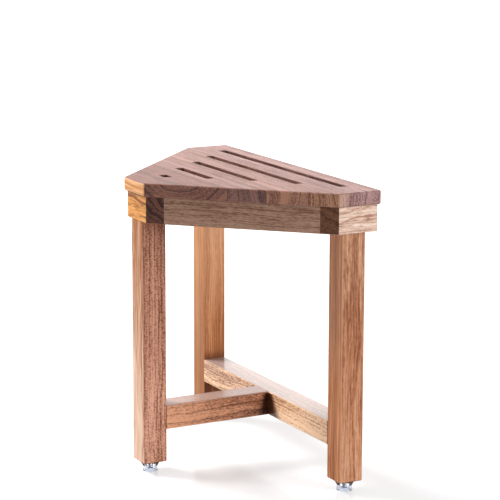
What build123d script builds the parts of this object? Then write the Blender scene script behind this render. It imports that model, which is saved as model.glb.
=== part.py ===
from build123d import *

import math
import os

# Corner shower foot stool. Millimetres, +Z up, origin on the floor under the middle of the top.
# The long edge of the top faces the bather, towards -Y, and the corner leg stands at +Y.
# The two sloping edges are square to each other, so the stool fits the corner of two walls.

# Overall
stool_height = 386.0
top_width = 418.0
corner_width = 58.0
side_width = 61.0

# Top
top_thickness = 17.5
top_corner_round = 5.0
top_edge_round = 2.0

# Slots through the top, from the long edge to the corner
slot_width = 11.5
slot_corner_round = 2.5
slot_edge_round = 0.8
front_slot_inset = 29.0
corner_slot_inset = 49.5
# The steps from each slot's middle line to the next, which a deeper top spreads in the same ratio
slot_steps = [38.5, 39.0, 42.0, 43.0]
# The wood left beyond the left and right ends of each slot
slot_margins = [(45.0, 44.0), (82.5, 73.5), (89.5, 70.5), (87.5, 64.5), (78.5, 60.5)]
# The wood between the last long slot and the corner stave's glue line
corner_seam_gap = 8.75

# Frame under the top
overhang = 4.0
board_thickness = 17.0
board_height = 34.5
board_edge_round = 1.0

# Legs
leg_side = 33.0
leg_edge_round = 1.8
leg_foot_chamfer = 1.0
tongue_gap = 0.2

# Low rails
rail_top_height = 89.0
rail_height = 32.0
rail_edge_round = 1.6

# Dowels
rail_dowel_diameter = 8.0
rail_dowel_reach = 14.0
rail_dowel_spacing = 16.0
frame_dowel_diameter = 5.0
frame_dowel_wall = 1.5
frame_dowel_spacing = 18.0
dowel_chamfer = 0.6
dowel_play = 0.05

# Screws
screw_play = 0.05
screw_point = 4.0
hole_end_gap = 0.5
pan_head_round = 1.6
cross_slot_width = 1.1
cross_slot_length = 4.4
cross_slot_depth = 1.3
leg_screw_diameter = 4.0
leg_screw_length = 25.0
leg_screw_head = 8.0
leg_screw_spacing = 16.0
top_screw_diameter = 4.0
top_screw_length = 30.0
top_screw_head = 7.6
top_screw_head_height = 2.6
top_screw_into_top = 11.0
top_screw_inset = 42.0
counterbore_play = 0.6
foot_screw_diameter = 4.4
foot_screw_length = 30.0
foot_screw_head = 8.6
foot_screw_head_height = 2.8

# Feet
foot_height = 14.0
foot_cone_height = 7.0
foot_seat_height = 7.0
foot_top_diameter = 28.0
foot_bottom_diameter = 19.7
foot_wall = 2.8
foot_edge_round = 0.8
washer_diameter = 12.4
washer_thickness = 1.0

# Heights worked out from the sizes
top_underside = stool_height - top_thickness
board_bottom = top_underside - board_height
board_middle = (top_underside + board_bottom) / 2
rail_bottom = rail_top_height - rail_height
rail_middle = (rail_top_height + rail_bottom) / 2
foot_screw_start = foot_seat_height - washer_thickness
top_screw_end = top_underside + top_screw_into_top
top_screw_start = top_screw_end - top_screw_length

# Places worked out from the sizes
SQRT2 = math.sqrt(2)
half_width = top_width / 2
top_depth = side_width + (top_width - corner_width) / 2
long_edge = -top_depth / 2
corner_edge = top_depth / 2
frame_depth = overhang + board_thickness
inner_x = half_width - frame_depth
inner_front = long_edge + frame_depth
inner_corner = corner_edge - frame_depth
leg_inset = overhang + leg_side / 2
side_leg_x = half_width - leg_inset
side_leg_y = inner_front + leg_side / 2
corner_leg_y = corner_edge - leg_inset
rail_end_x = side_leg_x - leg_side / 2
tee_start = side_leg_y + leg_side / 2
tee_end = corner_leg_y - leg_side / 2

# The middle line of each slot
first_slot = long_edge + front_slot_inset
step_scale = (top_depth - front_slot_inset - corner_slot_inset) / sum(slot_steps)
slot_lines = [first_slot + step_scale * sum(slot_steps[:count]) for count in range(len(slot_margins))]


def slope_reach(across, inset):
    """How far out a sloping edge, set in by inset, is on X at a given Y, or on Y at a given X."""
    return corner_width / 2 + corner_edge - inset * SQRT2 - across


def save(name, *solids):
    """Writes one node, as a single solid or as a group of separate ones."""
    shape = solids[0] if len(solids) == 1 else Compound(children=list(solids))
    shape.label = name
    export_step(shape, f"parts/{name}.step")


def block(x0, x1, y0, y1, z0, z1):
    """A box from its low and high corners."""
    return Pos((x0 + x1) / 2, (y0 + y1) / 2, (z0 + z1) / 2) * Box(x1 - x0, y1 - y0, z1 - z0)


def peg(radius, start, direction, length):
    """A plain cylinder from a start point along a direction."""
    return Solid.make_cylinder(radius, length, Plane(origin=start, z_dir=direction))


def turned(profile):
    """A solid of revolution about Z, from the radius and height of each corner of its profile."""
    return revolve(Plane.XZ * Polygon(*profile, align=None), Axis.Z)


def only_solid(shape):
    """The one solid that a boolean leaves."""
    found = shape.solids()
    assert len(found) == 1, f"{len(found)} solids where one was expected"
    return found[0]


def cut(shape, tools):
    """The shape without any of the tools."""
    for tool in tools:
        shape -= tool
    return shape


def upright_edges(shape):
    return shape.edges().filter_by(Axis.Z)


def prism(inset, low, high):
    """The top's six-cornered outline, set in by inset all round, from height low to high."""
    side = half_width - inset
    near = long_edge + inset
    far = corner_edge - inset
    points = [
        (-side, near),
        (side, near),
        (side, slope_reach(side, inset)),
        (slope_reach(far, inset), far),
        (-slope_reach(far, inset), far),
        (-side, slope_reach(side, inset)),
    ]
    return extrude(Pos(0, 0, low) * Polygon(*points, align=None), high - low)


# Screws

def cross_recess():
    """A crossed driver slot, cut into a head whose face is at z = 0."""
    size = (cross_slot_length, cross_slot_width, 2 * cross_slot_depth)
    return Box(*size) + Rot(0, 0, 90) * Box(*size)


def countersunk_form(diameter, length, head):
    """The outer form of a flat-headed screw along +Z, its head's face at z = 0."""
    radius = diameter / 2
    cone_height = head / 2 - radius
    return turned([(0, 0), (head / 2, 0), (radius, cone_height), (radius, length - screw_point), (0, length)])


def pan_screw(diameter, length, head, head_height):
    """A round-headed screw along +Z, its head's seat at z = 0 and its head below."""
    radius = diameter / 2
    head_profile = [(0, -head_height), (head / 2, -head_height), (head / 2, 0)]
    shank_profile = [(radius, 0), (radius, length - screw_point), (0, length)]
    body = turned(head_profile + shank_profile)
    body = fillet(body.edges().group_by(Axis.Z)[0], pan_head_round)
    return only_solid(body - Pos(0, 0, -head_height) * cross_recess())


def through_tongue(form):
    """A form along +Z, laid along +X at both screw heights, from the inner face of a leg at the Z axis."""
    heights = (board_middle - leg_screw_spacing / 2, board_middle + leg_screw_spacing / 2)
    return [Plane(origin=(-leg_side / 2, 0, z), z_dir=(1, 0, 0)) * form for z in heights]


leg_screw_form = countersunk_form(leg_screw_diameter, leg_screw_length, leg_screw_head)
leg_screws = through_tongue(only_solid(leg_screw_form - cross_recess()))
leg_screw_holes = through_tongue(
    countersunk_form(
        leg_screw_diameter + 2 * screw_play, leg_screw_length + hole_end_gap, leg_screw_head + 2 * screw_play
    )
)


def top_screw_places():
    """Where each screw goes up through an apron into the top: its x and y."""
    middle = overhang + board_thickness / 2
    corner_end = slope_reach(inner_corner, middle)
    places = [(x, long_edge + middle) for x in (top_screw_inset - inner_x, 0, inner_x - top_screw_inset)]
    for x in (corner_end + top_screw_inset, inner_x - top_screw_inset):
        y = slope_reach(x, middle)
        places += [(x, y), (-x, y)]
    return places


def up_from_board(radius, end):
    """A hole up from the underside of the frame at each top screw, to height end."""
    return [peg(radius, (x, y, board_bottom), (0, 0, 1), end - board_bottom) for x, y in top_screw_places()]


top_screw_holes = up_from_board(top_screw_diameter / 2 + screw_play, top_screw_end + hole_end_gap)
counterbores = up_from_board(top_screw_head / 2 + counterbore_play, top_screw_start)


# Dowels

def dowel(radius, middle, direction, reach):
    """A chamfered dowel, reaching the same way into both pieces."""
    body = peg(radius, Vector(middle) - Vector(direction) * reach, direction, 2 * reach)
    return chamfer(body.edges().filter_by(GeomType.CIRCLE), dowel_chamfer)


def dowel_hole(radius, middle, direction, reach):
    """The hole for such a dowel, through the joint's face."""
    depth = reach + hole_end_gap
    return peg(radius + dowel_play, Vector(middle) - Vector(direction) * depth, direction, 2 * depth)


def at_joints(make, joints, radius, reach):
    """What make builds at two points, one above the other, at each joint."""
    made = []
    for (x, y, z), direction, spacing in joints:
        for height in (z - spacing / 2, z + spacing / 2):
            made.append(make(radius, (x, y, height), direction, reach))
    return made


ALONG_X = (1, 0, 0)
ALONG_Y = (0, 1, 0)
rail_joints = [
    ((rail_end_x, side_leg_y, rail_middle), ALONG_X, rail_dowel_spacing),
    ((-rail_end_x, side_leg_y, rail_middle), ALONG_X, rail_dowel_spacing),
    ((0, tee_start, rail_middle), ALONG_Y, rail_dowel_spacing),
    ((0, tee_end, rail_middle), ALONG_Y, rail_dowel_spacing),
]
rail_dowels = at_joints(dowel, rail_joints, rail_dowel_diameter / 2, rail_dowel_reach)
rail_dowel_holes = at_joints(dowel_hole, rail_joints, rail_dowel_diameter / 2, rail_dowel_reach)

# A sloping apron meets the end boards at 45 degrees, on faces this wide
butt_width = board_thickness * SQRT2
front_butt_y = long_edge + overhang + board_thickness / 2
side_butt_y = slope_reach(inner_x, overhang) - butt_width / 2
corner_butt_x = slope_reach(inner_corner, overhang) - butt_width / 2
frame_joints = []
for side in (1, -1):
    frame_joints += [
        ((side * inner_x, front_butt_y, board_middle), ALONG_X, frame_dowel_spacing),
        ((side * inner_x, side_butt_y, board_middle), ALONG_X, frame_dowel_spacing),
        ((side * corner_butt_x, inner_corner, board_middle), ALONG_Y, frame_dowel_spacing),
    ]
frame_dowel_radius = frame_dowel_diameter / 2
frame_dowel_reach = butt_width / 2 - frame_dowel_radius - frame_dowel_wall
frame_dowels = at_joints(dowel, frame_joints, frame_dowel_radius, frame_dowel_reach)
frame_dowel_holes = at_joints(dowel_hole, frame_joints, frame_dowel_radius, frame_dowel_reach)


# Top

def slot_cutter(middle, left_margin, right_margin):
    """One slot through the top, with the small rounds that its cutter leaves."""
    edge = min(half_width, slope_reach(middle, 0))
    sides = (left_margin - edge, edge - right_margin)
    body = block(*sides, middle - slot_width / 2, middle + slot_width / 2, top_underside, stool_height)
    return fillet(upright_edges(body), slot_corner_round)


def top_panel():
    """The whole top, with its edges eased and its slots cut."""
    panel = fillet(upright_edges(prism(0, top_underside, stool_height)), top_corner_round)
    rims = panel.edges().group_by(Axis.Z)
    panel = fillet(rims[0] + rims[-1], top_edge_round)
    panel = cut(panel, [slot_cutter(middle, *margins) for middle, margins in zip(slot_lines, slot_margins)])
    upper_face = panel.faces().sort_by(Axis.Z)[-1]
    slot_rims = [edge for wire in upper_face.inner_wires() for edge in wire.edges()]
    return fillet(slot_rims, slot_edge_round)


def staves():
    """The top cut along its glue lines, from the long edge to the corner."""
    panel = cut(top_panel(), top_screw_holes)
    between_slots = [(near + far) / 2 for near, far in zip(slot_lines[:-2], slot_lines[1:-1])]
    corner_seam = slot_lines[-2] + slot_width / 2 + corner_seam_gap
    seams = [long_edge, *between_slots, corner_seam, corner_edge]
    return [
        only_solid(panel & block(-half_width, half_width, low, high, top_underside, stool_height))
        for low, high in zip(seams, seams[1:])
    ]


# Legs

leg_places = {
    "right_leg": Pos(side_leg_x, side_leg_y, 0),
    "left_leg": Pos(-side_leg_x, side_leg_y, 0) * Rot(0, 0, 180),
    "corner_leg": Pos(0, corner_leg_y, 0) * Rot(0, 0, 90),
}


def at_legs(forms):
    """Forms made for a leg at the Z axis, placed at all three legs."""
    return [place * form for place in leg_places.values() for form in forms]


def leg_blank():
    """A leg at the Z axis, its outer face towards +X, with the shoulder that carries an end board."""
    half = leg_side / 2
    leg = fillet(upright_edges(block(-half, half, -half, half, foot_height, top_underside)), leg_edge_round)
    leg = chamfer(leg.faces().sort_by(Axis.Z)[0].edges(), leg_foot_chamfer)
    leg -= block(half - board_thickness, half, -half, half, board_bottom, top_underside)
    pilot_depth = foot_screw_start + foot_screw_length + hole_end_gap - foot_height
    leg -= peg(foot_screw_diameter / 2 + screw_play, (0, 0, foot_height), (0, 0, 1), pilot_depth)
    return cut(leg, leg_screw_holes)


def beyond_slopes(inset):
    """Two blocks over the frame's height, all that lies outside the sloping edges set in by inset."""
    reach = (corner_width / 2 + corner_edge) / SQRT2 - inset
    space = block(reach, reach + top_width, -top_width, top_width, board_bottom, top_underside)
    return [Rot(0, 0, angle) * space for angle in (45, 135)]


def legs():
    """The three legs, their tongues trimmed where a sloping apron passes."""
    blank = leg_blank()
    tools = rail_dowel_holes + beyond_slopes(frame_depth + tongue_gap)
    return {name: only_solid(cut(place * blank, tools)) for name, place in leg_places.items()}


# Frame under the top

def frame_boards():
    """A ring round the underside of the top, parted so that the end boards run past the aprons."""
    low, high = board_bottom, top_underside
    ring = fillet(upright_edges(prism(overhang, low, high)), board_edge_round)
    ring = fillet(ring.faces().sort_by(Axis.Z)[0].edges(), board_edge_round)
    ring -= prism(frame_depth, low, high)
    ring = cut(ring, frame_dowel_holes + top_screw_holes + counterbores + at_legs(leg_screw_holes))
    spaces = {
        "right_board": block(inner_x, half_width, long_edge, corner_edge, low, high),
        "left_board": block(-half_width, -inner_x, long_edge, corner_edge, low, high),
        "corner_board": block(-inner_x, inner_x, inner_corner, corner_edge, low, high),
        "front_apron": block(-inner_x, inner_x, long_edge, inner_front, low, high),
        "right_apron": block(0, inner_x, inner_front, inner_corner, low, high),
        "left_apron": block(-inner_x, 0, inner_front, inner_corner, low, high),
    }
    return {name: only_solid(ring & space) for name, space in spaces.items()}


# Low rails

def rail(x0, x1, y0, y1, along):
    """A rail with its long edges eased and its dowel holes drilled."""
    bar = block(x0, x1, y0, y1, rail_bottom, rail_top_height)
    bar = fillet(bar.edges().filter_by(along), rail_edge_round)
    return only_solid(cut(bar, rail_dowel_holes))


# Feet

def foot():
    """A clear tapered bumper with a recess for its screw, standing on the floor at the Z axis."""
    low = foot_bottom_diameter / 2
    high = foot_top_diameter / 2
    recess = low - foot_wall
    bore = foot_screw_diameter / 2 + screw_play
    outside = [(recess, 0), (low, 0), (low, foot_height - foot_cone_height), (high, foot_height)]
    inside = [(bore, foot_height), (bore, foot_seat_height), (recess, foot_seat_height)]
    body = turned(outside + inside)
    rim = body.edges().group_by(Axis.Z)[0].sort_by(SortBy.RADIUS)[-1]
    return only_solid(fillet(rim, foot_edge_round))


def foot_washer():
    """A plain washer under the foot screw's head."""
    start = (0, 0, foot_screw_start)
    ring = peg(washer_diameter / 2, start, (0, 0, 1), washer_thickness)
    return ring - peg(foot_screw_diameter / 2 + screw_play, start, (0, 0, 1), washer_thickness)


def build():
    os.makedirs("parts", exist_ok=True)
    for number, stave in enumerate(staves(), start=1):
        save(f"top_stave_{number}", stave)
    for name, board in frame_boards().items():
        save(name, board)
    for name, leg in legs().items():
        save(name, leg)
    save("cross_rail", rail(-rail_end_x, rail_end_x, inner_front, tee_start, Axis.X))
    save("tee_rail", rail(-leg_side / 2, leg_side / 2, tee_start, tee_end, Axis.Y))
    save("rail_dowels", *rail_dowels)
    save("frame_dowels", *frame_dowels)
    save("leg_screws", *at_legs(leg_screws))
    top_screw = pan_screw(top_screw_diameter, top_screw_length, top_screw_head, top_screw_head_height)
    save("top_screws", *[Pos(x, y, top_screw_start) * top_screw for x, y in top_screw_places()])
    bumper = foot()
    for name, place in leg_places.items():
        save(name.replace("leg", "foot"), place * bumper)
    foot_screw = pan_screw(foot_screw_diameter, foot_screw_length, foot_screw_head, foot_screw_head_height)
    save("foot_screws", *at_legs([Pos(0, 0, foot_screw_start) * foot_screw]))
    save("foot_washers", *at_legs([foot_washer()]))


build()
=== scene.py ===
import math
from dataclasses import dataclass

import bpy
from mathutils import Matrix, Vector


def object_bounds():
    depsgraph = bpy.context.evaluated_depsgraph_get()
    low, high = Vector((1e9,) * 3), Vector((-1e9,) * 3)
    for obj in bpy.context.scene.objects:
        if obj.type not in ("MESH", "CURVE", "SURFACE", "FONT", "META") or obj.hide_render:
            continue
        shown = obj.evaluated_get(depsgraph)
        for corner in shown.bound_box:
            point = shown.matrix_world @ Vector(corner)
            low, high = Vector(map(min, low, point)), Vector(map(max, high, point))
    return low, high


# A corner shower foot stool in oiled hardwood, on a pale studio floor. Metres, +Z up.
# The wood is solid: growth rings run through each piece, so its end grain and side grain agree.

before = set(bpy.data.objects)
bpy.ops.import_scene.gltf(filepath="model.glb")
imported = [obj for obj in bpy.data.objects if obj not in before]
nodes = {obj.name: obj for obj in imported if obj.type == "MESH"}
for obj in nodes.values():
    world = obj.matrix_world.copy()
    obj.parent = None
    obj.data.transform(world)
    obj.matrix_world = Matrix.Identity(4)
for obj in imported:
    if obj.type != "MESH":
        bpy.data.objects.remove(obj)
cad_low, cad_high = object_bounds()

MM = 0.001

X_WAY = Vector((1, 0, 0))
Y_WAY = Vector((0, 1, 0))
Z_WAY = Vector((0, 0, 1))
RIGHT_SLOPE_WAY = Vector((-1, 1, 0)).normalized()
LEFT_SLOPE_WAY = Vector((1, 1, 0)).normalized()

CAMERA_PLACE = Vector((-2383.1, 1229.6, 832.6)) * MM
CAMERA_AZIMUTH = math.radians(241.82)
CAMERA_ELEVATION = math.radians(11.56)
CAMERA_ROLL = math.radians(0.15)
CAMERA_SENSOR = 36.0
CAMERA_LENS = 151.2

# The floor, in metres. Over the distances of FLOOR_FADE, its glow rises as FLOOR_GLOW says.
FLOOR_REACH = 14.0
FLOOR_FADE = (0.9, 2.4)
FLOOR_GLOW = (0.42, 0.95)
FLOOR_SHINE = 0.08
FLOOR_ROUGHNESS = 0.12
PAPER_PATCH = 0.6

# How strong the world is as a light on surfaces, and as the camera and reflections see it
WORLD_LIGHT = 0.3
WORLD_SEEN = 1.0

# The lamps: place, width and height in metres, and power in watts
LAMPS = {
    "key_lamp": ((1.52, 1.18, 1.63), 1.0, 1.0, 85),
    "fill_lamp": ((-2.3, -1.1, 1.2), 1.4, 1.4, 44),
    "back_lamp": ((2.2, -1.2, 0.65), 2.2, 1.1, 8),
}

# The grains of the wood's figure in millimetres: along the grain, then across it both ways
SLOW_DRIFT = (130, 45, 45)
QUICK_DRIFT = (26, 11, 11)
BROAD_FIGURE = (160, 30, 30)
FIBRES = (42, 1.6, 1.6)
FLECKS = (5, 1.2, 1.2)
PORES = (5.5, 0.42, 0.42)
FACE_FEATHER = (60, 9, 9)

# How much of a wood's wander goes into the slow drift and the quick one
SLOW_WANDER = 3
QUICK_WANDER = 0.35

# Rings crowd and spread by up to this many, over about this many millimetres
RING_CROWDING = 4.0
CROWDING_SIZE = 21.0

# The noise of stripes lies this many millimetres from that of the bands, and is this much wider
STRIPE_SHIFT = 500.0
STRIPE_WIDTH = 1.3

# The own tones of an outer face start and are full this many millimetres behind it, and noise moves that
FACE_START = 2.5
FACE_FULL = 0.5
FACE_WANDER = 3.0

# The noise of each piece starts this many millimetres along the grain from that of the piece before
SEED_STEP = 977.0
DOWEL_SEED = 31

# The depths of colour at which a wood shows its light, middle and dark tones
LIGHT_DEPTH = 0.1
MIDDLE_DEPTH = 0.5
DARK_DEPTH = 0.9

# How much of the dark tone a pore takes, and how much of the painted sheen's tone an upward face takes
PORE_SHARE = 0.4
PAINTED_SHEEN_SHARE = 0.75

# The relief of the grain, the haze and the tool marks
GRAIN_RELIEF = 0.12 * MM
HAZE_RELIEF = 0.1 * MM
TOOL_RELIEF = 0.05 * MM

# Where shade is painted, in millimetres. Slot walls with painted shade lie at least SLOT_INSET inside the
# top's outline, and the painted band of shade above a rail is SEAT_HEIGHT high. The painted shadow in the
# corner of the tee joint reaches JOINT_REACH at the rail's top, and further by JOINT_SPREAD of the drop.
# JOINT_FLATTENING makes it wider along the cross rail.
SLOT_INSET = 5
SLOT_FADE = 2
SEAT_HEIGHT = 16
JOINT_REACH = 6.0
JOINT_SPREAD = 0.3
JOINT_FLATTENING = 0.5


def farthest(name, way):
    """How far a node reaches along a direction, in millimetres."""
    return max(vertex.co @ way for vertex in nodes[name].data.vertices) / MM


# Places that the looks depend on, from the frame, in millimetres. The slope's is its X plus its Y.
TOP_HALF_WIDTH = farthest("top_stave_1", X_WAY)
TOP_HALF_DEPTH = farthest("top_stave_5", Y_WAY)
TOP_SLOPE = farthest("top_stave_3", X_WAY + Y_WAY)
RAIL_TOP = farthest("cross_rail", Z_WAY)
RAIL_FACE = farthest("cross_rail", Y_WAY)
TEE_HALF_WIDTH = farthest("tee_rail", X_WAY)


def tone(red, green, blue):
    """A colour written as it shows on a screen, from 0 to 255, in the light that the shader wants."""
    def linear(level):
        share = level / 255
        return share / 12.92 if share <= 0.04045 else ((share + 0.055) / 1.055) ** 2.4
    return (linear(red), linear(green), linear(blue), 1.0)


# Shader nodes

class Graph:
    """The nodes of one material or world, and short ways to add to them."""

    def __init__(self, owner):
        self.owner = owner
        owner.use_nodes = True
        self.tree = owner.node_tree
        self.tree.nodes.clear()

    def add(self, kind, inputs=(), **settings):
        node = self.tree.nodes.new(kind)
        for key, value in settings.items():
            setattr(node, key, value)
        for key, value in dict(inputs).items():
            self.feed(node.inputs[key], value)
        return node

    def feed(self, socket, value):
        """Give a socket another node's output, or a plain value."""
        if isinstance(value, bpy.types.NodeSocket):
            self.tree.links.new(value, socket)
        else:
            socket.default_value = value

    def math(self, operation, first, second=0.0, third=0.0):
        return self.add("ShaderNodeMath", {0: first, 1: second, 2: third}, operation=operation).outputs[0]

    def vector(self, operation, first, second=(0, 0, 0), output=0):
        return self.add("ShaderNodeVectorMath", {0: first, 1: second}, operation=operation).outputs[output]

    def along(self, value, way):
        """How far a place or a direction goes along a way."""
        return self.vector("DOT_PRODUCT", value, way, output=1)

    def parts(self, value):
        """The X, Y and Z of a place or a direction."""
        return self.add("ShaderNodeSeparateXYZ", {0: value}).outputs

    def noise(self, place, stretch, detail=2.0, output=0):
        """Noise whose grains are about as large as stretch, in the units of place."""
        scaled = self.vector("MULTIPLY", place, [1 / size for size in stretch])
        inputs = {"Vector": scaled, "Scale": 1.0, "Detail": detail}
        return self.add("ShaderNodeTexNoise", inputs).outputs[output]

    def drift(self, place, stretch):
        """Noise in three directions, with its middle near zero."""
        return self.vector("SUBTRACT", self.noise(place, stretch, output=1), (0.5, 0.5, 0.5))

    def line_noise(self, place, size, detail=1.0):
        """Noise along one number."""
        inputs = {"W": self.math("DIVIDE", place, size), "Scale": 1.0, "Detail": detail}
        return self.add("ShaderNodeTexNoise", inputs, noise_dimensions="1D").outputs[0]

    def laid(self, value, turn, move=(0, 0, 0)):
        """A place or direction turned so that the grain runs along X."""
        inputs = {"Vector": value, "Location": move, "Rotation": turn.to_euler()}
        return self.add("ShaderNodeMapping", inputs).outputs[0]

    def step(self, value, low, high, out_low=0.0, out_high=1.0):
        """A smooth rise from out_low at low to out_high at high."""
        inputs = {"Value": value, "From Min": low, "From Max": high, "To Min": out_low, "To Max": out_high}
        return self.add("ShaderNodeMapRange", inputs, interpolation_type="SMOOTHSTEP").outputs[0]

    def blend(self, share, first, second, how="MIX"):
        node = self.add("ShaderNodeMix", data_type="RGBA", blend_type=how)
        for socket, value in zip((node.inputs[0], node.inputs[6], node.inputs[7]), (share, first, second)):
            self.feed(socket, value)
        return node.outputs[2]

    def ramp(self, share, *stops):
        """Colours along a share from 0 to 1."""
        node = self.add("ShaderNodeValToRGB", {0: share})
        elements = node.color_ramp.elements
        while len(elements) < len(stops):
            elements.new(0.5)
        for element, (place, colour) in zip(elements, stops):
            element.position = place
            element.color = colour
        return node.outputs[0]

    def tones(self, depth, light, dark):
        """A colour between a light and a dark tone, by its depth."""
        return self.ramp(depth, (LIGHT_DEPTH, light), (DARK_DEPTH, dark))

    def sum(self, *terms):
        """A sum of values, each times its weight."""
        total = 0.0
        for value, weight in terms:
            total = self.math("MULTIPLY_ADD", value, weight, total)
        return total

    def length(self, first, second):
        squares = self.math("MULTIPLY_ADD", first, first, self.math("MULTIPLY", second, second))
        return self.math("SQRT", squares)

    def bump(self, height, strength, relief):
        inputs = {"Strength": strength, "Distance": relief, "Height": height}
        return self.add("ShaderNodeBump", inputs).outputs[0]

    def surface(self, **inputs):
        shader = self.add("ShaderNodeBsdfPrincipled", {key.replace("_", " "): v for key, v in inputs.items()})
        return self.complete(shader, "ShaderNodeOutputMaterial")

    def complete(self, shader, kind):
        """Lead a shader to the output, and hand back the material or world."""
        self.tree.links.new(shader.outputs[0], self.add(kind).inputs[0])
        return self.owner


# Wood

@dataclass
class Wood:
    """How one piece of wood was cut and what it looks like. Lengths are millimetres in the row frame."""
    grain: Vector
    # A point on the middle line of the tree
    pith: tuple
    # Light, middle and dark tones of the sides, and light and dark tones of the ends
    tones: tuple
    ends: tuple
    # The width of a ring, how far rings wander, and how strongly they show
    ring: float = 2.8
    wander: float = 4.0
    lines: float = 0.35
    # Bands of colour, and how wide they are
    bands: float = 0.45
    band_size: float = 9.0
    # Streaks of fibre, mottle with its grains along and across, and flecks
    streaks: float = 0.8
    mottle: float = 0.4
    mottle_size: tuple = (9.0, 2.4, 2.4)
    flecks: float = 0.2
    # Stripes of another colour: their light and dark tones, and their share
    accent: tuple = ()
    # A face with its own tones: its direction, its distance, and the light and dark tones
    outside: tuple = ()
    # A change of depth along the grain: its start and end, its amount, and its amount on that face
    fade: tuple = ()
    # A shade multiplied in along the grain: where it starts, where it is full, and the shade
    wash: tuple = ()
    # How pale the eased edges are, by wear and a painted highlight, how strong the clear coat is,
    # and the tone of a painted sheen on the top
    wear_and_highlight: float = 0.3
    polish: float = 0.0
    painted_sheen_tone: tuple = ()
    # The side on which a leg meets its rail, where shade is painted above the rail
    rail_side: Vector = None


def wood_rings(graph, look, laid):
    """Growth rings: the place after they wander, the distance from the pith there, and the late wood."""
    slow = SLOW_WANDER * look.wander
    quick = QUICK_WANDER * look.wander
    drift = graph.vector("ADD", graph.vector("MULTIPLY", graph.drift(laid, SLOW_DRIFT), (0, slow, slow)),
                         graph.vector("MULTIPLY", graph.drift(laid, QUICK_DRIFT), (0, quick, quick)))
    wandered = graph.vector("ADD", laid, drift)
    across = graph.vector("MULTIPLY", wandered, (0, 1, 1))
    radius = graph.vector("LENGTH", across, output=1)

    # The rings are of uneven width, and each has its own depth of colour
    uneven = graph.line_noise(radius, CROWDING_SIZE)
    count = graph.math("MULTIPLY_ADD", uneven, RING_CROWDING, graph.math("DIVIDE", radius, look.ring))
    part = graph.math("FRACT", count)
    late = graph.math("MULTIPLY", graph.step(part, 0.25, 0.9), graph.step(part, 0.9, 1.0, 1.0, 0.0))
    number = {"W": graph.math("FLOOR", count)}
    own = graph.add("ShaderNodeTexWhiteNoise", number, noise_dimensions="1D").outputs[0]
    late = graph.math("MULTIPLY", late, graph.math("MULTIPLY_ADD", own, 0.9, 0.3))
    return wandered, radius, late


def wood_depths(graph, look, laid, rings, fibre):
    """The depth of colour without and with mottle and flecks: 0.5 is the middle tone, and more is darker."""
    wandered, radius, late = rings
    band = graph.line_noise(radius, look.band_size, 2.0)
    broad = graph.noise(laid, BROAD_FIGURE)
    mottle = graph.noise(wandered, look.mottle_size, 2.0)
    fleck = graph.step(graph.noise(laid, FLECKS, 1.0), 0.54, 0.68)
    plain = graph.sum((late, look.lines), (band, 2.5 * look.bands), (broad, look.bands),
                      (fibre, 2 * look.streaks))
    plain = graph.math("ADD", plain, 0.5 - 0.25 * look.lines - 1.75 * look.bands - look.streaks)
    figure = graph.sum((mottle, 2 * look.mottle), (fleck, look.flecks))
    figure = graph.math("SUBTRACT", figure, look.mottle + 0.25 * look.flecks)
    return plain, graph.math("ADD", plain, figure)


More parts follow.
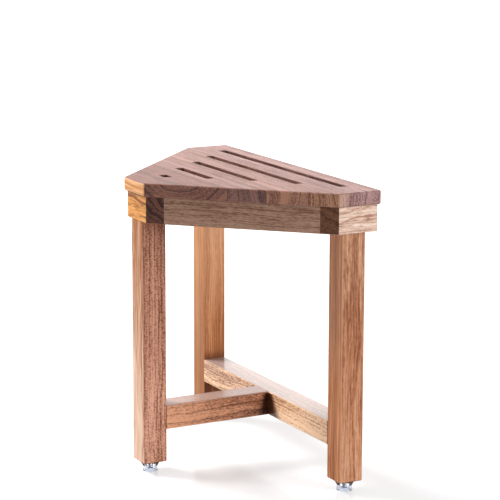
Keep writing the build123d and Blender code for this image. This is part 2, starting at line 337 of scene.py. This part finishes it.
def wood_material(name, look, seed, slots=False, joint=False):
    """A solid wood: rings round the pith, bands of colour, fibres, flecks and mottle along the grain."""
    graph = Graph(bpy.data.materials.new(name))
    turn = look.grain.rotation_difference(X_WAY)
    pith = turn @ Vector(look.pith)
    coordinates = graph.add("ShaderNodeTexCoord").outputs
    normal = coordinates["Normal"]
    place = graph.vector("MULTIPLY", coordinates["Object"], (1 / MM, 1 / MM, 1 / MM))
    laid = graph.laid(place, turn, (seed * SEED_STEP, -pith.y, -pith.z))
    sides = graph.parts(graph.laid(normal, turn))

    rings = wood_rings(graph, look, laid)
    radius, late = rings[1:]
    fibre = graph.noise(laid, FIBRES, 4.0)
    pore = graph.step(graph.noise(laid, PORES, 1.0), 0.62, 0.74)
    plain, depth = wood_depths(graph, look, laid, rings, fibre)
    if look.fade:
        low, high, amount, outside_amount = look.fade
        change = graph.step(graph.along(place, look.grain), low, high, -1.0, 1.0)
        depth = graph.math("MULTIPLY_ADD", change, amount, depth)
        plain = graph.math("MULTIPLY_ADD", change, outside_amount, plain)

    light, middle, dark = look.tones
    colour = graph.ramp(depth, (LIGHT_DEPTH, light), (MIDDLE_DEPTH, middle), (DARK_DEPTH, dark))
    if look.accent:
        colour = add_stripes(graph, colour, look, radius, depth)
    if look.wash:
        low, high, shade = look.wash
        share = graph.step(graph.along(place, look.grain), low, high)
        colour = graph.blend(share, colour, shade, "MULTIPLY")
    colour = graph.blend(graph.math("MULTIPLY", pore, PORE_SHARE), colour, dark)
    colour = add_end_grain(graph, colour, look, sides[0], late, depth)
    if look.outside:
        colour = add_outer_face(graph, colour, look, place, normal, laid, plain)
    # Painted shade on the walls of the slots
    if slots:
        colour = paint_slot_shade(graph, colour, place, normal)

    # The eased edges along the grain are paler, by wear and a painted highlight,
    # and the top of a rail has a painted sheen
    turned = graph.math("ABSOLUTE", graph.math("MULTIPLY", sides[1], sides[2]))
    eased = graph.math("MULTIPLY", graph.step(turned, 0.08, 0.4), look.wear_and_highlight)
    colour = graph.blend(eased, colour, light)
    if look.painted_sheen_tone:
        upward = graph.step(graph.along(normal, Z_WAY), 0.5, 0.95, 0.0, PAINTED_SHEEN_SHARE)
        colour = graph.blend(upward, colour, look.painted_sheen_tone)
    # Painted shade on a leg just above its rail, and a painted shadow in the corners of the tee joint
    if look.rail_side:
        colour = paint_rail_seat_shade(graph, colour, place, normal, look.rail_side)
    if joint:
        colour = paint_joint_shadow(graph, colour, place)

    # Fibres stand proud and rough, and pores lie deep
    height = graph.sum((fibre, 0.5), (pore, -0.6), (late, -0.25))
    rough = graph.math("MULTIPLY_ADD", fibre, 0.16, graph.math("MULTIPLY_ADD", pore, 0.12, 0.34))
    return graph.surface(Base_Color=colour, Roughness=rough, Normal=graph.bump(height, 0.5, GRAIN_RELIEF),
                         IOR=1.46, Specular_IOR_Level=0.3,
                         Coat_Weight=look.polish, Coat_Roughness=0.14, Coat_IOR=1.45)


def add_stripes(graph, colour, look, radius, depth):
    """Stripes of another colour follow the rings, somewhat wider than the bands."""
    light, dark, share = look.accent
    stripe = graph.line_noise(graph.math("ADD", radius, STRIPE_SHIFT), STRIPE_WIDTH * look.band_size)
    stripe = graph.step(stripe, 0.48, 0.62, 0.0, share)
    return graph.blend(stripe, colour, graph.tones(depth, light, dark))


def add_end_grain(graph, colour, look, facing, late, depth):
    """End grain takes up more oil, so it is darker, and its rings show more."""
    end = graph.step(graph.math("ABSOLUTE", facing), 0.25, 0.65)
    end_depth = graph.sum((late, 0.5 * look.lines), (depth, 1.0))
    end_depth = graph.math("SUBTRACT", end_depth, 0.15 * look.lines)
    return graph.blend(end, colour, graph.tones(end_depth, *look.ends))


def add_outer_face(graph, colour, look, place, normal, laid, plain):
    """One outer face has tones of its own, which end in a soft edge where it turns."""
    way, reach, light, dark = look.outside
    out = graph.math("MULTIPLY_ADD", graph.noise(laid, FACE_FEATHER), FACE_WANDER, graph.along(place, way))
    facing = graph.step(graph.along(normal, way), 0.75, 0.92)
    zone = graph.math("MULTIPLY", facing, graph.step(out, reach - FACE_START, reach - FACE_FULL))
    return graph.blend(zone, colour, graph.tones(plain, light, dark))


def paint_slot_shade(graph, colour, place, normal):
    """Painted shade: the cut walls of the slots are darkened."""
    parts = graph.parts(place)
    level = graph.math("ABSOLUTE", graph.along(normal, Z_WAY))
    wall = graph.step(level, 0.3, 0.8, 1.0, 0.0)
    sideways = graph.math("ABSOLUTE", parts[0])
    for out, edge in (
        (sideways, TOP_HALF_WIDTH),
        (graph.math("ABSOLUTE", parts[1]), TOP_HALF_DEPTH),
        (graph.math("ADD", sideways, parts[1]), TOP_SLOPE),
    ):
        inside = graph.step(out, edge - SLOT_INSET - SLOT_FADE, edge - SLOT_INSET, 1.0, 0.0)
        wall = graph.math("MULTIPLY", wall, inside)
    return graph.blend(wall, colour, SLOT_PAINTED_SHADE, "MULTIPLY")


def paint_rail_seat_shade(graph, colour, place, normal, way):
    """Painted shade on a leg's inner face, just above its rail."""
    inner = graph.step(graph.along(normal, way), 0.5, 0.9)
    above = graph.step(graph.along(place, Z_WAY), RAIL_TOP, RAIL_TOP + SEAT_HEIGHT, 1.0, 0.0)
    return graph.blend(graph.math("MULTIPLY", inner, above), colour, SEAT_PAINTED_SHADE, "MULTIPLY")


def paint_joint_shadow(graph, colour, place):
    """A painted shadow in the upright corners beside the tee joint, wider towards the bottom."""
    parts = graph.parts(place)
    beside = graph.math("SUBTRACT", graph.math("ABSOLUTE", parts[0]), TEE_HALF_WIDTH)
    before = graph.math("SUBTRACT", parts[1], RAIL_FACE)
    distance = graph.length(graph.math("MULTIPLY", beside, JOINT_FLATTENING), before)
    drop = graph.math("SUBTRACT", RAIL_TOP, parts[2])
    reach = graph.math("MULTIPLY_ADD", drop, JOINT_SPREAD, JOINT_REACH)
    near = graph.step(graph.math("DIVIDE", distance, reach), 0.5, 1.25, 1.0, 0.0)
    near = graph.math("MULTIPLY", near, graph.step(drop, 0.5, 3.0))
    return graph.blend(near, colour, JOINT_PAINTED_SHADOW, "MULTIPLY")


# Tones that several woods share, and the colours of painted shade in the slots, above the rails and at the
# tee joint
TOP_TONES = (tone(164, 118, 107), tone(147, 100, 88), tone(104, 61, 50))
DEEP_TOP_TONES = (tone(146, 97, 81), tone(130, 80, 63), tone(92, 52, 41))
SAP_TONES = (tone(246, 191, 140), tone(185, 123, 65))
ORANGE_STRIPE = (tone(200, 136, 92), tone(150, 92, 58))
BOARD_ENDS = (tone(124, 81, 56), tone(66, 33, 18))
LEG_ENDS = (tone(160, 106, 70), tone(104, 62, 40))
APRON_TONES = (tone(182, 144, 122), tone(160, 122, 101), tone(118, 82, 63))
SLOT_PAINTED_SHADE = (0.45, 0.44, 0.42, 1.0)
SEAT_PAINTED_SHADE = (0.5, 0.4, 0.32, 1.0)
JOINT_PAINTED_SHADOW = (0.13, 0.055, 0.02, 1.0)


def outer_face(name, way, light, dark):
    """The outermost face of a node towards a direction, and the tones of its own that it has."""
    return way, farthest(name, way), light, dark


# Piece by piece: grain, pith, the sides' three tones, the ends' two tones, the ring width, then the rest
WOODS = {
    "top_stave_1": Wood(X_WAY, (0, -420, 340), (tone(180, 134, 124), tone(160, 114, 104), tone(112, 70, 60)),
                        (tone(180, 141, 137), tone(116, 80, 74)), 3.2, streaks=1.0),
    "top_stave_2": Wood(X_WAY, (0, 220, 350), TOP_TONES, (tone(190, 140, 109), tone(112, 72, 56)), 2.8,
                        bands=0.6, accent=(*ORANGE_STRIPE, 0.25),
                        outside=outer_face("top_stave_2", -X_WAY, tone(196, 158, 142), tone(146, 108, 98))),
    "top_stave_3": Wood(X_WAY, (0, -310, 365), TOP_TONES, (tone(178, 128, 104), tone(98, 63, 54)), 3.0,
                        bands=0.7, accent=(*ORANGE_STRIPE, 0.25)),
    "top_stave_4": Wood(X_WAY, (0, 320, 368), TOP_TONES, (tone(146, 105, 94), tone(83, 56, 53)), 2.6,
                        bands=0.6),
    "top_stave_5": Wood(X_WAY, (0, 86, 402), DEEP_TOP_TONES, (tone(154, 106, 88), tone(86, 56, 54)), 4.6,
                        bands=0.6, outside=outer_face("top_stave_5", Y_WAY, *SAP_TONES)),
    "right_board": Wood(Y_WAY, (260, 0, 330), (tone(240, 212, 192), tone(222, 188, 168), tone(176, 130, 104)),
                        BOARD_ENDS, 3.0),
    "left_board": Wood(Y_WAY, (-160, 0, 300), (tone(244, 219, 202), tone(223, 190, 171), tone(170, 124, 99)),
                       BOARD_ENDS, 1.9, wander=9, lines=0.25, bands=0.26, band_size=5.0, streaks=0.65),
    "corner_board": Wood(X_WAY, (0, 60, 380), (tone(228, 165, 95), tone(206, 138, 62), tone(125, 69, 27)),
                         (tone(116, 73, 60), tone(52, 27, 23)), 6.5, wander=9, lines=0.55, streaks=0.6,
                         flecks=0.1),
    "front_apron": Wood(X_WAY, (0, -60, 290), APRON_TONES, BOARD_ENDS),
    "right_apron": Wood(RIGHT_SLOPE_WAY, (60, 40, 330), APRON_TONES, BOARD_ENDS),
    "left_apron": Wood(LEFT_SLOPE_WAY, (-60, 40, 300), APRON_TONES, BOARD_ENDS, 2.2,
                       mottle=0.7, mottle_size=(7, 1.6, 1.6)),
    "right_leg": Wood(Z_WAY, (160, -30, 0), (tone(228, 172, 132), tone(204, 142, 98), tone(162, 98, 52)),
                      LEG_ENDS, 3.2, lines=0.17, bands=0.42, streaks=0.42, flecks=0.0, mottle=0.2,
                      outside=outer_face("right_leg", Y_WAY, tone(192, 134, 86), tone(144, 86, 42)),
                      fade=(60, 340, -0.35, -0.25), rail_side=-X_WAY),
    # The left leg's outer face has brighter tones of its own, partly painted light over the seat's shadow
    # there
    "left_leg": Wood(Z_WAY, (-150, -60, 0), (tone(222, 166, 132), tone(189, 128, 90), tone(130, 71, 42)),
                     LEG_ENDS, 3.0, lines=0.25, streaks=0.65, mottle=0.3, flecks=0.1,
                     outside=outer_face("left_leg", Y_WAY, tone(240, 162, 109), tone(131, 71, 38)),
                     fade=(20, 200, 0.22, -0.02), wash=(225, 290, (1.24, 1.52, 1.81, 1.0)), wear_and_highlight=0.8,
                     rail_side=X_WAY),
    # The corner leg's fade and wash darken it towards the top, a painted gradient of shade
    "corner_leg": Wood(Z_WAY, (10, 60, 0), (tone(229, 172, 146), tone(191, 134, 108), tone(126, 70, 47)),
                       LEG_ENDS, 3.4, lines=0.25, mottle=0.8, mottle_size=(1.8, 2.8, 2.8),
                       outside=outer_face("corner_leg", Y_WAY, tone(230, 192, 168), tone(152, 88, 28)),
                       fade=(20, 330, 0.04, 0.3), wash=(90, 180, (0.8, 0.74, 0.71, 1.0)), rail_side=-Y_WAY),
    "cross_rail": Wood(X_WAY, (0, -110, 40), (tone(246, 203, 162), tone(207, 162, 127), tone(142, 92, 63)),
                       LEG_ENDS, 3.2, bands=0.6, streaks=0.6, mottle=0.8, mottle_size=(5, 1.6, 1.6),
                       fade=(-150, 150, 0.22, 0), polish=0.6, painted_sheen_tone=tone(160, 144, 141)),
    "tee_rail": Wood(Y_WAY, (30, 0, 50), (tone(236, 170, 131), tone(189, 129, 97), tone(126, 72, 47)),
                     LEG_ENDS, 3.0, streaks=0.5, mottle=0.85, mottle_size=(4, 1.6, 1.6),
                     fade=(-60, 80, -0.25, 0), polish=0.3, painted_sheen_tone=tone(156, 134, 126)),
}

DOWEL_WOOD = Wood(X_WAY, (0, 0, 40), (tone(236, 206, 166), tone(220, 184, 140), tone(190, 146, 104)),
                  (tone(206, 168, 124), tone(168, 124, 84)))


# Other materials

def clear_plastic():
    """The soft clear plastic of the feet, with a faint uneven haze."""
    graph = Graph(bpy.data.materials.new("clear_plastic"))
    place = graph.add("ShaderNodeTexCoord").outputs["Object"]
    haze = graph.noise(place, (4 * MM, 4 * MM, 4 * MM), 3.0)
    tint = graph.blend(haze, tone(224, 230, 246), tone(240, 243, 251))
    rough = graph.math("MULTIPLY_ADD", haze, 0.10, 0.03)
    return graph.surface(Base_Color=tint, Roughness=rough, Normal=graph.bump(haze, 0.15, HAZE_RELIEF),
                         IOR=1.49, Transmission_Weight=1.0)


def bright_steel():
    """Turned screw steel, with fine level tool marks and a little dullness."""
    graph = Graph(bpy.data.materials.new("bright_steel"))
    place = graph.add("ShaderNodeTexCoord").outputs["Object"]
    marks = graph.noise(place, (6 * MM, 6 * MM, 0.18 * MM))
    dull = graph.noise(place, (3 * MM, 3 * MM, 3 * MM), 3.0)
    colour = graph.blend(dull, tone(124, 124, 129), tone(178, 178, 184))
    rough = graph.math("MULTIPLY_ADD", dull, 0.2, 0.2)
    return graph.surface(Base_Color=colour, Roughness=rough, Normal=graph.bump(marks, 0.3, TOOL_RELIEF),
                         Metallic=1.0)


def dress(names, material):
    for name in names:
        nodes[name].data.materials.clear()
        nodes[name].data.materials.append(material)


def dress_woods():
    """Each piece of wood has a material of its own, and all dowels share one."""
    for seed, (name, look) in enumerate(WOODS.items(), start=1):
        # The top staves take painted shade on their slot walls, and the rails a painted shadow at the tee
        # joint
        slots = name.startswith("top_stave")
        joint = name.endswith("rail")
        dress([name], wood_material(f"{name}_wood", look, seed, slots, joint))
    dress(["rail_dowels", "frame_dowels"], wood_material("dowel_wood", DOWEL_WOOD, DOWEL_SEED))


# Studio

def floor_material():
    """White paper with a faint shine, pure white where fully lit, that keeps the stool's shadow."""
    graph = Graph(bpy.data.materials.new("studio_floor"))
    place = graph.add("ShaderNodeTexCoord").outputs["Object"]
    patches = graph.noise(place, (PAPER_PATCH, PAPER_PATCH, PAPER_PATCH))
    paper = graph.blend(patches, tone(198, 198, 199), tone(203, 203, 203))
    lit = graph.add("ShaderNodeBsdfDiffuse", {"Color": paper}).outputs[0]
    shine = {"Color": (1, 1, 1, 1), "Roughness": FLOOR_ROUGHNESS}
    shine = graph.add("ShaderNodeBsdfGlossy", shine).outputs[0]
    lit = graph.add("ShaderNodeMixShader", {0: FLOOR_SHINE, 1: lit, 2: shine}).outputs[0]
    path = graph.add("ShaderNodeLightPath").outputs
    seen = graph.math("MAXIMUM", path["Is Camera Ray"], path["Is Transmission Ray"])
    far = graph.step(graph.vector("LENGTH", place, output=1), *FLOOR_FADE, *FLOOR_GLOW)
    glow = graph.add("ShaderNodeEmission", {"Strength": graph.math("MULTIPLY", seen, far)}).outputs[0]
    return graph.complete(graph.add("ShaderNodeAddShader", {0: lit, 1: glow}), "ShaderNodeOutputMaterial")


def make_floor():
    mesh = bpy.data.meshes.new("studio_floor")
    corners = [(-1, -1, 0), (1, -1, 0), (1, 1, 0), (-1, 1, 0)]
    mesh.from_pydata([Vector(corner) * FLOOR_REACH for corner in corners], [], [(0, 1, 2, 3)])
    floor = bpy.data.objects.new("studio_floor", mesh)
    floor.data.materials.append(floor_material())
    bpy.context.scene.collection.objects.link(floor)


def make_world():
    """White as far as the camera and reflections see, and a softer light for the surfaces."""
    graph = Graph(bpy.data.worlds.new("studio"))
    path = graph.add("ShaderNodeLightPath").outputs
    shiny = graph.math("MAXIMUM", path["Is Glossy Ray"], path["Is Transmission Ray"])
    seen = graph.math("MAXIMUM", path["Is Camera Ray"], shiny)
    strengths = {"Value": seen, "To Min": WORLD_LIGHT, "To Max": WORLD_SEEN}
    strength = graph.add("ShaderNodeMapRange", strengths).outputs[0]
    background = graph.add("ShaderNodeBackground", {"Color": (1, 1, 1, 1), "Strength": strength})
    bpy.context.scene.world = graph.complete(background, "ShaderNodeOutputWorld")


def softbox(name, place, width, height, power):
    """A rectangular lamp aimed at the middle of the stool."""
    lamp = bpy.data.lights.new(name, "AREA")
    lamp.shape = "RECTANGLE"
    lamp.size = width
    lamp.size_y = height
    lamp.energy = power
    holder = bpy.data.objects.new(name, lamp)
    holder.location = place
    aim = (cad_low + cad_high) / 2 - Vector(place)
    holder.rotation_mode = "QUATERNION"
    holder.rotation_quaternion = aim.to_track_quat("-Z", "Y")
    bpy.context.scene.collection.objects.link(holder)


def make_camera():
    right = Vector((math.cos(CAMERA_AZIMUTH), math.sin(CAMERA_AZIMUTH), 0))
    level_back = right.cross(Z_WAY)
    back = level_back * math.cos(CAMERA_ELEVATION) + Z_WAY * math.sin(CAMERA_ELEVATION)
    up = back.cross(right)
    turn = Matrix((right, up, back)).transposed() @ Matrix.Rotation(CAMERA_ROLL, 3, "Z")
    lens = bpy.data.cameras.new("camera")
    lens.sensor_width = CAMERA_SENSOR
    lens.lens = CAMERA_LENS
    camera = bpy.data.objects.new("camera", lens)
    camera.rotation_mode = "QUATERNION"
    camera.rotation_quaternion = turn.to_quaternion()
    camera.location = CAMERA_PLACE
    bpy.context.scene.collection.objects.link(camera)
    bpy.context.scene.camera = camera


dress_woods()
dress(["right_foot", "left_foot", "corner_foot"], clear_plastic())
dress(["leg_screws", "top_screws", "foot_screws", "foot_washers"], bright_steel())
make_floor()
make_world()
for lamp_name, lamp_facts in LAMPS.items():
    softbox(lamp_name, *lamp_facts)
make_camera()
bpy.context.scene.view_settings.view_transform = "Standard"
